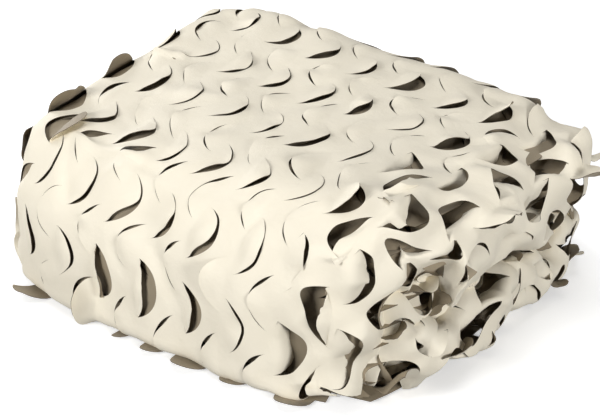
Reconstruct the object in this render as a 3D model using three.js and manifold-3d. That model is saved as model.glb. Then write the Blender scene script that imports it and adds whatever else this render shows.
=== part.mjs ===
// Leaf-cut shade net, folded back and forth into a soft pack and wrapped in its own outermost ply.
// Millimetres. +X runs along the smooth front face to the leafy end, +Y from front to back, +Z up.
import * as THREE from 'three';
import Module from 'manifold-3d';

// Driving sizes of the pack
const HALF_LENGTH = 229;
const HALF_DEPTH = 203;
const STACK_HEIGHT = 147;
const CORNER_HEIGHT = { leftFront: 124, rightFront: 165, leftBack: 172, rightBack: 127 };
const CROWN = 4;
const PLAN_CORNER = 0.14;
const CORNER_POWER = 4;
const FRONT_LEAN = 5;
const FRONT_ROUND = 90;
const FOOT_ROUND = 13;
const END_ROUND = 39;
const BACK_ROUND = 57;

// Driving sizes of the folded sheet
const SHEET = 2.6;
const INNER_LAYERS = 16;
const WRAP_GAP = 8;
const RIPPLE = 3;
const LOOP_STEPS = 3;
const FOOT_STEPS = 4;
const FRONT_STEPS = 7;
const OUTER_COLUMNS = [-1, -0.92, -0.8, -0.5, -0.25, 0, 0.25, 0.5, 0.8, 0.92, 1];
const INNER_COLUMNS = [-1, -0.8, -0.25, 0.25, 0.8, 1];

// How far each fold stops short of the back, from the top fold down
const FOLDS = [
  { backInset: 0 },
  { backInset: 7 },
  { backInset: 2 },
  { backInset: 10 },
  { backInset: 4 },
  { backInset: 0 },
  { backInset: 8 },
  { backInset: 3 },
];

// The cut repeat: its pitch, where its first cut lies, and the leaves that its edge leaves at the +X end
const CUT_PITCH = 50;
const ROW_PITCH = 75.4;
const FIRST_CUT = { along: -96.6, travel: 52.6 };
const ROW_TURN = -5;
const CUT_COLUMNS = { first: -1, last: 5 };
const LEAF_REACH = 11;
const LEAF_DROOP = 4;

// One S-shaped cut, from its top round the bulge to its tail
const S_CUT = [
  { along: -23.5, travel: 23 },
  { along: -14.5, travel: 19 },
  { along: -5.5, travel: 12 },
  { along: 0, travel: -1 },
  { along: -9.5, travel: -14 },
  { along: -26.5, travel: -29 },
];
const CUT_STEPS = 6;
const CUT_DEPTH = 4;

// How wide the cuts of each row stand open, from the front face up and over to the back
const CUT_ROWS = [
  { opening: 10 },
  { opening: 8 },
  { opening: 6 },
  { opening: 6 },
  { opening: 7 },
  { opening: 5 },
];

// Share of the height left where the stack rounds over within one radius of an edge
function shoulder(reach, halfSize, radius) {
  const over = THREE.MathUtils.clamp((reach - halfSize + radius) / radius, 0, 1);
  return 1 - (radius / STACK_HEIGHT) * (1 - Math.sqrt(1 - over * over));
}

// Takes a point of the straight, square stack to its place in the soft, uneven pack
function settle(along, depth, height) {
  const rise = height / STACK_HEIGHT;
  const lean = FRONT_LEAN * rise * Math.max(0, -depth / HALF_DEPTH) ** CORNER_POWER;
  const e = along / HALF_LENGTH;
  const n = (depth + lean) / HALF_DEPTH;
  const front = THREE.MathUtils.lerp(CORNER_HEIGHT.leftFront, CORNER_HEIGHT.rightFront, (1 + e) / 2);
  const back = THREE.MathUtils.lerp(CORNER_HEIGHT.leftBack, CORNER_HEIGHT.rightBack, (1 + e) / 2);
  const crown = CROWN * (1 - e * e) * (1 - n * n);
  const top = THREE.MathUtils.lerp(front, back, (1 + n) / 2) + crown;
  const ripple = RIPPLE * Math.sin(Math.PI * rise) * Math.cos(2 * Math.PI * e);
  const endSqueeze = shoulder(Math.abs(along), HALF_LENGTH, END_ROUND);
  const backSqueeze = shoulder(depth, HALF_DEPTH, BACK_ROUND);
  return new THREE.Vector3(
    HALF_LENGTH * e * (1 - PLAN_CORNER * n ** CORNER_POWER),
    HALF_DEPTH * n * (1 - PLAN_CORNER * e ** CORNER_POWER),
    (height + ripple) * (top / STACK_HEIGHT) * endSqueeze * backSqueeze,
  );
}

// Stations of the section: a place in the Y-Z plane, the sheet's normal there and the columns across it
const stations = [];

function addStation(depth, height, normalDepth, normalHeight, columns) {
  const last = stations[stations.length - 1];
  const step = last ? Math.hypot(depth - last.depth, height - last.height) : 0;
  const travel = last ? last.travel + step : 0;
  stations.push({ depth, height, normalDepth, normalHeight, columns, travel });
}

// A straight run, with a station every half row so that the end of the sheet steps in and out in leaves
function addRun(from, to, columns) {
  const length = Math.hypot(to.depth - from.depth, to.height - from.height);
  const steps = Math.max(1, Math.round(length / (ROW_PITCH / 2)));
  const normalDepth = -(to.height - from.height) / length;
  const normalHeight = (to.depth - from.depth) / length;
  for (let i = 0; i <= steps; i += 1) {
    const depth = THREE.MathUtils.lerp(from.depth, to.depth, i / steps);
    const height = THREE.MathUtils.lerp(from.height, to.height, i / steps);
    addStation(depth, height, normalDepth, normalHeight, columns);
  }
}

// A round turn between two runs, without its first and last station; side is 1 where the outside faces out
function addTurn(center, radius, startAngle, endAngle, steps, side, columns) {
  for (let i = 1; i < steps; i += 1) {
    const angle = THREE.MathUtils.lerp(startAngle, endAngle, i / steps);
    const cos = Math.cos(angle);
    const sin = Math.sin(angle);
    addStation(center.depth + radius * cos, center.height + radius * sin, side * cos, side * sin, columns);
  }
}

// How far the outermost ply draws in from the front at a given height
function frontInset(height) {
  const overTop = Math.max(0, height - (STACK_HEIGHT - FRONT_ROUND));
  const underFoot = Math.max(0, FOOT_ROUND - height);
  const topInset = FRONT_ROUND - Math.sqrt(FRONT_ROUND ** 2 - overTop ** 2);
  const footInset = FOOT_ROUND - Math.sqrt(FOOT_ROUND ** 2 - underFoot ** 2);
  return topInset + footInset;
}

// The outermost ply: flat on the ground from the back, up the front and over the top
const half = SHEET / 2;
const footCenter = { depth: -HALF_DEPTH + FOOT_ROUND, height: FOOT_ROUND };
const shoulderCenter = { depth: -HALF_DEPTH + FRONT_ROUND, height: STACK_HEIGHT - FRONT_ROUND };
const layerPitch = (STACK_HEIGHT - SHEET) / (INNER_LAYERS + 1);
const loopRadius = layerPitch / 2;
const topHeight = STACK_HEIGHT - half;
const backOf = (layer) => HALF_DEPTH - loopRadius - half - FOLDS[Math.floor(layer / 2)].backInset;

addRun(
  { depth: backOf(INNER_LAYERS - 1), height: half },
  { depth: footCenter.depth, height: half },
  INNER_COLUMNS,
);
addTurn(footCenter, FOOT_ROUND - half, -Math.PI / 2, -Math.PI, FOOT_STEPS, 1, OUTER_COLUMNS);
addRun(
  { depth: -HALF_DEPTH + half, height: footCenter.height },
  { depth: -HALF_DEPTH + half, height: shoulderCenter.height },
  OUTER_COLUMNS,
);
addTurn(shoulderCenter, FRONT_ROUND - half, Math.PI, Math.PI / 2, FRONT_STEPS, 1, OUTER_COLUMNS);
const footTravel = stations.find((station) => station.depth === -HALF_DEPTH + half).travel;
addRun(
  { depth: shoulderCenter.depth, height: topHeight },
  { depth: backOf(0), height: topHeight },
  OUTER_COLUMNS,
);

// The inner layers, back and forth below it: odd ones run to the front, even ones to the back
for (let layer = 1; layer <= INNER_LAYERS; layer += 1) {
  const height = topHeight - layer * layerPitch;
  const toFront = layer % 2 === 1;
  const turnHeight = height + loopRadius;
  const frontAt = (place) => -HALF_DEPTH + frontInset(place) + half + WRAP_GAP + loopRadius;
  const back = backOf(layer - 1);
  const frontOfPair = toFront ? height - loopRadius : turnHeight;
  const front = Math.max(frontAt(frontOfPair), frontAt(frontOfPair + layerPitch));
  const start = { depth: toFront ? back : front, height };
  const end = { depth: toFront ? front : back, height };
  const center = { depth: start.depth, height: turnHeight };
  const side = toFront ? 1 : -1;
  const quarter = Math.PI / 2;
  addTurn(center, loopRadius, quarter, quarter - side * Math.PI, LOOP_STEPS, side, INNER_COLUMNS);
  addRun(start, end, INNER_COLUMNS);
}

// A point of the sheet: its place along the pack, its travel along the section, its height off the middle
function sheetPoint(along, travel, offset) {
  const next = stations.findIndex((station) => station.travel > travel);
  const a = stations[next - 1];
  const b = stations[next];
  const t = (travel - a.travel) / (b.travel - a.travel);
  const mix = (key) => THREE.MathUtils.lerp(a[key], b[key], t);
  return settle(
    along,
    mix('depth') + offset * mix('normalDepth'),
    mix('height') + offset * mix('normalHeight'),
  );
}

// The leafy edge: the last column steps out to a leaf tip and back in, and the tips droop
function stationPoint(station, column, side) {
  const leaf = column === 1 ? Math.cos((2 * Math.PI * station.travel) / ROW_PITCH) : 0;
  const droop = (LEAF_DROOP * Math.max(0, leaf) * (station.height - half)) / STACK_HEIGHT;
  const depth = station.depth + side * half * station.normalDepth;
  const height = station.height + side * half * station.normalHeight;
  return settle(column * HALF_LENGTH + LEAF_REACH * leaf, depth, height - droop);
}

// Joins two rows of points that start and end together but may have different columns
function zipRows(rowA, columnsA, rowB, columnsB, triangles) {
  let i = 0;
  let j = 0;
  while (i < rowA.length - 1 || j < rowB.length - 1) {
    const stepA = j === rowB.length - 1 || (i < rowA.length - 1 && columnsA[i + 1] <= columnsB[j + 1]);
    if (stepA) {
      triangles.push(rowA[i], rowA[i + 1], rowB[j]);
      i += 1;
    } else {
      triangles.push(rowA[i], rowB[j + 1], rowB[j]);
      j += 1;
    }
  }
}

// The whole folded sheet as one closed skin: an outside, an inside, two cut ends and two side edges
function foldedSheet(wasm) {
  const positions = [];
  const triangles = [];
  const place = (point) => {
    positions.push(point.x, point.y, point.z);
    return positions.length / 3 - 1;
  };
  const pointsOf = (station, side) => station.columns.map((column) => stationPoint(station, column, side));
  const rows = stations.map((station) => ({
    columns: station.columns,
    outside: pointsOf(station, 1).map(place),
    inside: pointsOf(station, -1).map(place),
  }));
  for (let r = 0; r < rows.length - 1; r += 1) {
    const a = rows[r];
    const b = rows[r + 1];
    zipRows(a.outside, a.columns, b.outside, b.columns, triangles);
    const insideStart = triangles.length;
    zipRows(a.inside, a.columns, b.inside, b.columns, triangles);
    for (let k = insideStart; k < triangles.length; k += 3) {
      [triangles[k], triangles[k + 1]] = [triangles[k + 1], triangles[k]];
    }
    const lastA = a.columns.length - 1;
    const lastB = b.columns.length - 1;
    triangles.push(a.inside[0], a.outside[0], b.outside[0], a.inside[0], b.outside[0], b.inside[0]);
    triangles.push(a.inside[lastA], b.inside[lastB], b.outside[lastB]);
    triangles.push(a.inside[lastA], b.outside[lastB], a.outside[lastA]);
  }
  const first = rows[0];
  const last = rows[rows.length - 1];
  zipRows(first.inside, first.columns, first.outside, first.columns, triangles);
  zipRows(last.outside, last.columns, last.inside, last.columns, triangles);
  return toSolid(wasm, positions, triangles);
}

function toSolid(wasm, positions, triangles) {
  const mesh = new wasm.Mesh({
    numProp: 3,
    vertProperties: new Float32Array(positions),
    triVerts: new Uint32Array(triangles),
  });
  return new wasm.Manifold(mesh);
}

// The gap of one opened cut: the cut edge on one side, the tongue drawn back from it on the other
const cutPoints = S_CUT.map((point) => new THREE.Vector3(point.along, point.travel, 0));
const cutCurve = new THREE.CatmullRomCurve3(cutPoints);

function cutGap(wasm, along, travel, opening) {
  const edge = [];
  const tongue = [];
  for (let i = 0; i <= CUT_STEPS; i += 1) {
    const t = i / CUT_STEPS;
    const point = cutCurve.getPointAt(t);
    const direction = cutCurve.getTangentAt(t);
    const open = opening * Math.sin(Math.PI * t);
    edge.push(new THREE.Vector2(along + point.x, travel + point.y));
    const drawnBack = new THREE.Vector2(open * direction.y, -open * direction.x);
    tongue.push(drawnBack.add(edge[i]));
  }
  const rim = [...tongue.slice(1, -1), ...edge.reverse()];
  const count = rim.length;
  const positions = [];
  for (const offset of [CUT_DEPTH, -CUT_DEPTH]) {
    for (const point of rim) {
      positions.push(...sheetPoint(point.x, point.y, offset).toArray());
    }
  }
  const triangles = [];
  for (const [a, b, c] of THREE.ShapeUtils.triangulateShape(rim, [])) {
    triangles.push(a, b, c, a + count, c + count, b + count);
  }
  for (let i = 0; i < count; i += 1) {
    const j = (i + 1) % count;
    triangles.push(i + count, j + count, j, i + count, j, i);
  }
  return toSolid(wasm, positions, triangles);
}

const wasm = await Module();
wasm.setup();

let net = foldedSheet(wasm);
CUT_ROWS.forEach(({ opening }, rowIndex) => {
  for (let column = CUT_COLUMNS.first; column <= CUT_COLUMNS.last; column += 1) {
    const along = FIRST_CUT.along + CUT_PITCH * column;
    const travel = footTravel + FIRST_CUT.travel + ROW_PITCH * rowIndex + ROW_TURN * column;
    net = net.subtract(cutGap(wasm, along, travel, opening));
  }
});

// The finished solid, with its origin under the middle of its box
const netMesh = net.getMesh();
const geometry = new THREE.BufferGeometry();
geometry.setAttribute('position', new THREE.BufferAttribute(netMesh.vertProperties, 3));
geometry.setIndex(new THREE.BufferAttribute(netMesh.triVerts, 1));
geometry.computeBoundingBox();
const middle = geometry.boundingBox.getCenter(new THREE.Vector3());
geometry.translate(-middle.x, -middle.y, -geometry.boundingBox.min.z);
geometry.computeVertexNormals();

const cloth = new THREE.MeshStandardMaterial({ color: 0xe6dfcc, roughness: 0.8, metalness: 0 });
const sheet = new THREE.Mesh(geometry, cloth);
sheet.name = 'net';

const shadeNet = new THREE.Group();
shadeNet.add(sheet);

export default shadeNet;
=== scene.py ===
import math
import bpy
import numpy as np
from mathutils import Matrix, Vector
from mathutils.geometry import delaunay_2d_cdt


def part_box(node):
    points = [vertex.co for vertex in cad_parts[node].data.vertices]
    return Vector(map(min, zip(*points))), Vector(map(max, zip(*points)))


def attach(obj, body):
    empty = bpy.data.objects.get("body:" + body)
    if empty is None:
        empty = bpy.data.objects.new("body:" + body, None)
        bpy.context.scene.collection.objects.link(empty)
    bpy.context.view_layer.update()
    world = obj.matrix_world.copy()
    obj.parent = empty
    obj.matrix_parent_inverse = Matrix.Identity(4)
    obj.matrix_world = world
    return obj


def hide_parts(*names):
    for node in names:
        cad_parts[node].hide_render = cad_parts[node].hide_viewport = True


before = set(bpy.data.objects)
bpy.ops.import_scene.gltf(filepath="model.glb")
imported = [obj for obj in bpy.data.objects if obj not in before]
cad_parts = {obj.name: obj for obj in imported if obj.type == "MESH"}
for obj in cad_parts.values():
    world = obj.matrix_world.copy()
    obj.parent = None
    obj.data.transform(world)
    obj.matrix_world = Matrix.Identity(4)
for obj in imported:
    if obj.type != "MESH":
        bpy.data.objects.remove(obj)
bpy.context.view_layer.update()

# Inner plies
# The middle of the folded net: one continuous length of thin coated cloth that lies back and forth
# in loose layers. It is only seen as shade and grey cloth through the opened cuts of the outer plies.
MM = 0.001
HALF_LENGTH = 229.0
HALF_DEPTH = 203.0
STACK_HEIGHT = 147.0
LEFT_FRONT, RIGHT_FRONT, LEFT_BACK, RIGHT_BACK = 124.0, 165.0, 172.0, 127.0
CROWN = 4.0
PLAN_CORNER = 0.14
FRONT_LEAN = 5.0
FRONT_ROUND = 90.0
END_ROUND = 39.0
BACK_ROUND = 57.0
PACK_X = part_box("net")[0].x / MM + HALF_LENGTH


def shoulder(reach, half_size, radius):
    """Share of the height left near an edge: a quarter circle of that radius taken off the stack."""
    over = np.clip((reach - half_size + radius) / radius, 0.0, 1.0)
    return 1.0 - radius / STACK_HEIGHT * (1.0 - np.sqrt(1.0 - over * over))


def settle(along, depth, height):
    """Place in the soft pack of a point of the square stack: plan corners drawn in by a fourth power,
    heights blended between the four corners, and the ends and the back rounded over."""
    lean = FRONT_LEAN * height / STACK_HEIGHT * np.maximum(0.0, -depth / HALF_DEPTH) ** 4
    e = along / HALF_LENGTH
    n = (depth + lean) / HALF_DEPTH
    front = LEFT_FRONT + (RIGHT_FRONT - LEFT_FRONT) * (1.0 + e) / 2.0
    back = LEFT_BACK + (RIGHT_BACK - LEFT_BACK) * (1.0 + e) / 2.0
    top = front + (back - front) * (1.0 + n) / 2.0 + CROWN * (1.0 - e * e) * (1.0 - n * n)
    squeeze = shoulder(np.abs(along), HALF_LENGTH, END_ROUND) * shoulder(depth, HALF_DEPTH, BACK_ROUND)
    x = PACK_X + HALF_LENGTH * e * (1.0 - PLAN_CORNER * n ** 4)
    y = HALF_DEPTH * n * (1.0 - PLAN_CORNER * e ** 4)
    return np.stack([x, y, height * top / STACK_HEIGHT * squeeze], axis=-1)


THREAD_SCALE = 500.0
THREAD_WANDER = 0.4
THREAD_HEIGHT = 0.12
NOISES = [
    # name, scale, detail
    ("mottle", 28.0, 5.0),
    ("crinkle", 160.0, 3.0),
]


def coated_weave():
    """Node group: fine plain weave and crinkles as height, and slow mottling of the coating as shade."""
    group = bpy.data.node_groups.new("coated_weave", "ShaderNodeTree")
    group.interface.new_socket("Vector", in_out="INPUT", socket_type="NodeSocketVector")
    group.interface.new_socket("Shade", in_out="OUTPUT", socket_type="NodeSocketFloat")
    group.interface.new_socket("Height", in_out="OUTPUT", socket_type="NodeSocketFloat")
    nodes, links = group.nodes, group.links
    entry = nodes.new("NodeGroupInput")
    leave = nodes.new("NodeGroupOutput")
    weave = nodes.new("ShaderNodeMath")
    weave.operation = "MULTIPLY"
    for direction, socket in zip(("X", "Y"), weave.inputs):
        threads = nodes.new("ShaderNodeTexWave")
        threads.bands_direction = direction
        threads.inputs["Scale"].default_value = THREAD_SCALE
        threads.inputs["Distortion"].default_value = THREAD_WANDER
        links.new(entry.outputs["Vector"], threads.inputs["Vector"])
        links.new(threads.outputs["Fac"], socket)
    noise = {}
    for name, scale, detail in NOISES:
        noise[name] = nodes.new("ShaderNodeTexNoise")
        noise[name].inputs["Scale"].default_value = scale
        noise[name].inputs["Detail"].default_value = detail
        links.new(entry.outputs["Vector"], noise[name].inputs["Vector"])
    height = nodes.new("ShaderNodeMath")
    height.operation = "MULTIPLY_ADD"
    height.inputs[1].default_value = THREAD_HEIGHT
    links.new(weave.outputs[0], height.inputs[0])
    links.new(noise["crinkle"].outputs["Fac"], height.inputs[2])
    links.new(noise["mottle"].outputs["Fac"], leave.inputs["Shade"])
    links.new(height.outputs[0], leave.inputs["Height"])
    return group


WEAVE = coated_weave()
GLOSS_CHANGE = 0.08
BUMP_STRENGTH = 0.35
BUMP_DISTANCE = 0.0011


def cloth_material(name, light, dark, roughness, sheen):
    """One face of the coated cloth: two close colours mixed by the mottling, weave and crinkle as bump."""
    material = bpy.data.materials.new(name)
    material.use_nodes = True
    nodes, links = material.node_tree.nodes, material.node_tree.links
    shader = nodes["Principled BSDF"]
    shader.inputs["Sheen Weight"].default_value = sheen
    shader.inputs["Sheen Roughness"].default_value = 0.5
    shader.inputs["Specular IOR Level"].default_value = 0.35
    flat_map = nodes.new("ShaderNodeUVMap")
    flat_map.uv_map = "flat"
    weave = nodes.new("ShaderNodeGroup")
    weave.node_tree = WEAVE
    links.new(flat_map.outputs["UV"], weave.inputs["Vector"])
    tone = nodes.new("ShaderNodeMix")
    tone.data_type = "RGBA"
    tone.inputs["A"].default_value = (*dark, 1.0)
    tone.inputs["B"].default_value = (*light, 1.0)
    links.new(weave.outputs["Shade"], tone.inputs["Factor"])
    links.new(tone.outputs["Result"], shader.inputs["Base Color"])
    gloss = nodes.new("ShaderNodeMapRange")
    gloss.inputs["To Min"].default_value = roughness - GLOSS_CHANGE
    gloss.inputs["To Max"].default_value = roughness + GLOSS_CHANGE
    links.new(weave.outputs["Shade"], gloss.inputs["Value"])
    links.new(gloss.outputs["Result"], shader.inputs["Roughness"])
    bump = nodes.new("ShaderNodeBump")
    bump.inputs["Strength"].default_value = BUMP_STRENGTH
    bump.inputs["Distance"].default_value = BUMP_DISTANCE
    links.new(weave.outputs["Height"], bump.inputs["Height"])
    links.new(bump.outputs["Normal"], shader.inputs["Normal"])
    return material


CREAM = cloth_material("cream_face", (0.86, 0.80, 0.665), (0.79, 0.725, 0.585), 0.6, 0.1)
TAUPE = cloth_material("taupe_reverse", (0.34, 0.28, 0.195), (0.275, 0.225, 0.15), 0.6, 0.1)
# The rim of every cut is painted a near-black brown, darker than either face of the cloth: painted shade for
# the thin dark line along the cuts.
SHADED_CUT_EDGE = cloth_material("shaded_cut_edge", (0.13, 0.105, 0.07), (0.1, 0.08, 0.05), 0.7, 0.0)
CLOTH = 0.5
FLOOR_GAP = 0.2
SHARP_EDGE = math.radians(50.0)
TINY = 1e-9


def unit(vectors):
    """Vectors of length one."""
    return vectors / np.maximum(np.linalg.norm(vectors, axis=-1, keepdims=True), TINY)


def thick_sheet(name, places, triangles, flat, face, reverse, size):
    """Closed thin sheet: the surface, a copy drawn back along the vertex normals by the cloth's
    thickness, and a rim along every open edge. The flat places become the map of the weave. It rides on the
    pack and stands for its solid. The size is not used."""
    corners = places[triangles]
    face_normal = np.cross(corners[:, 1] - corners[:, 0], corners[:, 2] - corners[:, 0])
    normal = np.zeros_like(places)
    for corner in triangles.T:
        np.add.at(normal, corner, face_normal)
    count = len(places)
    edges = np.concatenate([triangles[:, [0, 1]], triangles[:, [1, 2]], triangles[:, [2, 0]]])
    code = np.sort(edges, axis=1) @ np.array([count, 1])
    first, uses = np.unique(code, return_index=True, return_counts=True)[1:]
    rim = edges[first[uses == 1]]
    rim_faces = np.concatenate([
        np.stack([rim[:, 1], rim[:, 0], rim[:, 0] + count], axis=1),
        np.stack([rim[:, 1], rim[:, 0] + count, rim[:, 1] + count], axis=1),
    ])
    faces = np.concatenate([triangles, triangles[:, ::-1] + count, rim_faces])
    vertices = np.concatenate([places, places - CLOTH * unit(normal)]) * MM
    vertices[:, 2] = np.maximum(vertices[:, 2], FLOOR_GAP * MM)
    mesh = bpy.data.meshes.new(name)
    mesh.from_pydata(vertices.tolist(), [], faces.tolist())
    # The third slot holds the dark rim material, painted shade along every cut edge.
    for material in (face, reverse, SHADED_CUT_EDGE):
        mesh.materials.append(material)
    slot = np.repeat([0, 1, 2], [len(triangles), len(triangles), len(rim_faces)]).astype(np.int32)
    mesh.polygons.foreach_set("material_index", slot)
    mesh.polygons.foreach_set("use_smooth", np.ones(len(faces), dtype=bool))
    flat_corners = np.concatenate([flat, flat])[faces.ravel()] * MM
    layer = mesh.uv_layers.new(name="flat")
    layer.data.foreach_set("uv", flat_corners.ravel().astype(np.float32))
    mesh.set_sharp_from_angle(angle=SHARP_EDGE)
    mesh.validate()
    piece = bpy.data.objects.new(name, mesh)
    bpy.context.scene.collection.objects.link(piece)
    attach(piece, "root")
    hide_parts("net")


def grid_triangles(rows, columns):
    """Two triangles for each cell of a grid of rows and columns, anticlockwise."""
    index = np.arange(rows * columns).reshape(rows, columns)
    a, b, c, d = index[:-1, :-1], index[:-1, 1:], index[1:, 1:], index[1:, :-1]
    return np.concatenate([np.stack([a, b, c], -1).reshape(-1, 3), np.stack([a, c, d], -1).reshape(-1, 3)])


INNER_LAYERS = 10
INNER_FIRST_LEVEL = 2.0
INNER_END_INSET = 30.0
INNER_TOP_INSET = 13.0
INNER_FRONT_INSET = 30.0
INNER_BACK_INSET = 18.0
INNER_COLUMNS = 16


def inner_section(steps, turn_steps):
    """Depth and height along the back-and-forth section: straight layers joined by half-round turns."""
    layer = np.arange(INNER_LAYERS)
    pitch = (STACK_HEIGHT - INNER_TOP_INSET - INNER_FIRST_LEVEL) / (INNER_LAYERS - 1)
    level = INNER_FIRST_LEVEL + pitch * layer
    over = np.maximum(0.0, level - STACK_HEIGHT + FRONT_ROUND)
    front = (INNER_FRONT_INSET - HALF_DEPTH + FRONT_ROUND - np.sqrt(FRONT_ROUND ** 2 - over ** 2))[:, None]
    back = HALF_DEPTH - INNER_BACK_INSET
    share = np.linspace(0.0, 1.0, steps)
    depth = front + (back - front) * np.where(layer[:, None] % 2 == 0, share, 1.0 - share)
    height = np.repeat(level[:, None], steps, axis=1)
    turn = np.linspace(-math.pi / 2.0, math.pi / 2.0, turn_steps)[1:-1]
    side = np.where(layer % 2 == 0, 1.0, -1.0)[:, None]
    turn_depth = depth[:, -1:] + side * pitch / 2.0 * np.cos(turn)
    turn_height = level[:, None] + pitch / 2.0 + pitch / 2.0 * np.sin(turn)
    depth = np.concatenate([depth, turn_depth], axis=1).ravel()[:-len(turn)]
    height = np.concatenate([height, turn_height], axis=1).ravel()[:-len(turn)]
    return depth, height


inner_depth, inner_height = inner_section(steps=24, turn_steps=7)
inner_travel = np.concatenate([[0.0], np.cumsum(np.hypot(np.diff(inner_depth), np.diff(inner_height)))])
inner_along = np.linspace(-1.0, 1.0, INNER_COLUMNS) * (HALF_LENGTH - INNER_END_INSET)
along = np.tile(inner_along, len(inner_depth))
depth, height, travel = np.repeat([inner_depth, inner_height, inner_travel], INNER_COLUMNS, axis=1)
inner_places = settle(along, depth, height)
inner_triangles = grid_triangles(len(inner_depth), INNER_COLUMNS)
inner_flat = np.stack([along, travel], axis=-1)
inner_size = np.ptp(inner_along), inner_travel[-1]
thick_sheet("inner_plies", inner_places, inner_triangles, inner_flat, TAUPE, TAUPE, inner_size)

# Second ply
# The ply just below the outermost one. The net turns over at each fold, so its taupe reverse faces
# out here and shows as grey through the opened cuts. It has the same die-cut leaf cuts.
CUT_PITCH = 50.0
ROW_PITCH = 75.4
PITCH = np.array([CUT_PITCH, ROW_PITCH])
CUT_STEP = 2.8
RIGHT_CUT = np.array([
    (-24.0, 20.0), (-15.0, 15.5), (-6.5, 8.5), (-1.0, 0.0), (0.5, -8.5),
    (-1.0, -17.0), (-5.5, -24.5), (-12.0, -30.0), (-20.0, -34.0),
])
HALF_TURN = np.array([1.5, -53.0])
LEFT_CUT = HALF_TURN - RIGHT_CUT[::-1]


def smooth_line(points, step):
    """Even points along a Catmull-Rom curve through a few charted points."""
    ends = np.concatenate([[2 * points[0] - points[1]], points, [2 * points[-1] - points[-2]]])
    t = np.linspace(0.0, len(points) - 1.0, 40 * len(points))
    k = np.minimum(t.astype(int), len(points) - 2)
    f = (t - k)[:, None]
    p0, p1, p2, p3 = ends[k], ends[k + 1], ends[k + 2], ends[k + 3]
    curve = 0.5 * (2 * p1 + (p2 - p0) * f + (2 * p0 - 5 * p1 + 4 * p2 - p3) * f ** 2
                   + (3 * p1 - p0 - 3 * p2 + p3) * f ** 3)
    travel = np.concatenate([[0.0], np.cumsum(np.linalg.norm(np.diff(curve, axis=0), axis=1))])
    even = np.linspace(0.0, travel[-1], int(round(travel[-1] / step)) + 1)
    return np.stack([np.interp(even, travel, curve[:, 0]), np.interp(even, travel, curve[:, 1])], axis=-1)


CUTS = [smooth_line(RIGHT_CUT, CUT_STEP), smooth_line(LEFT_CUT, CUT_STEP)]
CUT_LEFT = [-40.0, -8.0]
CUT_MIDDLE = [-7.0, -46.0]
HINGE_SLACK = 4.0
CUT_CLEARANCE = 0.55
BORDER_CLEARANCE = 1.5
MERGE_DISTANCE = 1e-5


def inside(points, outline):
    """True for points inside a closed outline: a ray to the right crosses it an odd number of times."""
    x, y = points[:, 0, None], points[:, 1, None]
    ax, ay = outline[:, 0], outline[:, 1]
    bx, by = np.roll(ax, -1), np.roll(ay, -1)
    crosses = (ay > y) != (by > y)
    at = ax + (y - ay) * (bx - ax) / np.where(by == ay, TINY, by - ay)
    return np.sum(crosses & (x < at), axis=1) % 2 == 1


def hinge_of(cut):
    """Direction and length of a leaf's hinge, the straight line from the start of its cut to the end, and
    the direction square to it toward the leaf's round edge."""
    hinge = cut[-1] - cut[0]
    length = np.linalg.norm(hinge)
    hinge = hinge / length
    out = np.array([-hinge[1], hinge[0]])
    out = out if np.sum((cut.mean(axis=0) - cut[0]) * out) > 0 else -out
    return hinge, length, out


def tongue_at(spots, tongues):
    """Number of the tongue that holds each flat spot, or -1. Each spot is tested in the one repeat whose
    tongue could hold it, against the cut and a hinge drawn back by its slack."""
    number_of = {tuple(key): number for number, key in enumerate(tongues.tolist())}
    found = np.full(len(spots), -1)
    for kind, cut in enumerate(CUTS):
        column = np.floor((spots[:, 0] - CUT_LEFT[kind]) / CUT_PITCH)
        row = np.round((spots[:, 1] - CUT_MIDDLE[kind]) / ROW_PITCH)
        cell = np.stack([column, row], axis=-1).astype(int)
        slack = HINGE_SLACK * hinge_of(cut)[2]
        held = inside(spots - cell * PITCH, np.concatenate([cut, [cut[-1] - slack, cut[0] - slack]]))
        number = np.array([number_of.get((c, r, kind), -1) for c, r in cell[held].tolist()], dtype=int)
        found[held] = np.where(number >= 0, number, found[held])
    return found


def rectangle_border(low, high, gap):
    """Even points round a rectangle, anticlockwise from its low corner."""
    steps = np.maximum(2, np.round((high - low) / gap)).astype(int)
    x = np.linspace(low[0], high[0], steps[0] + 1)
    y = np.linspace(low[1], high[1], steps[1] + 1)
    return np.concatenate([
        np.stack([x[:-1], np.full(steps[0], low[1])], axis=-1),
        np.stack([np.full(steps[1], high[0]), y[:-1]], axis=-1),
        np.stack([x[:0:-1], np.full(steps[0], high[1])], axis=-1),
        np.stack([np.full(steps[1], low[0]), y[:0:-1]], axis=-1),
    ])


def field_points(low, high, cells, across, down):
    """Even field of points in a rectangle, the same in every repeat, with every other row half a step
    aside. It keeps clear of the cuts and of the border."""
    gap = PITCH / np.array([across, down])
    grid = np.stack(np.meshgrid(np.arange(across), np.arange(down)), axis=-1).reshape(-1, 2)
    seeds = (grid + np.stack([0.5 * (grid[:, 1] % 2), np.zeros(len(grid))], axis=-1)) * gap
    around = np.stack(np.meshgrid([-1, 0, 1], [-1, 0, 1]), axis=-1).reshape(-1, 1, 2) * PITCH
    lines = np.concatenate([(cut + around).reshape(-1, 2) for cut in CUTS])
    nearest = np.linalg.norm(seeds[:, None] - lines[None], axis=-1).min(axis=1)
    seeds = seeds[nearest > CUT_CLEARANCE * gap.min()]
    field = (cells[:, None] * PITCH + seeds).reshape(-1, 2)
    margin = 0.5 * gap
    return field[np.all((field > low + margin) & (field < high - margin), axis=1)]


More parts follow.
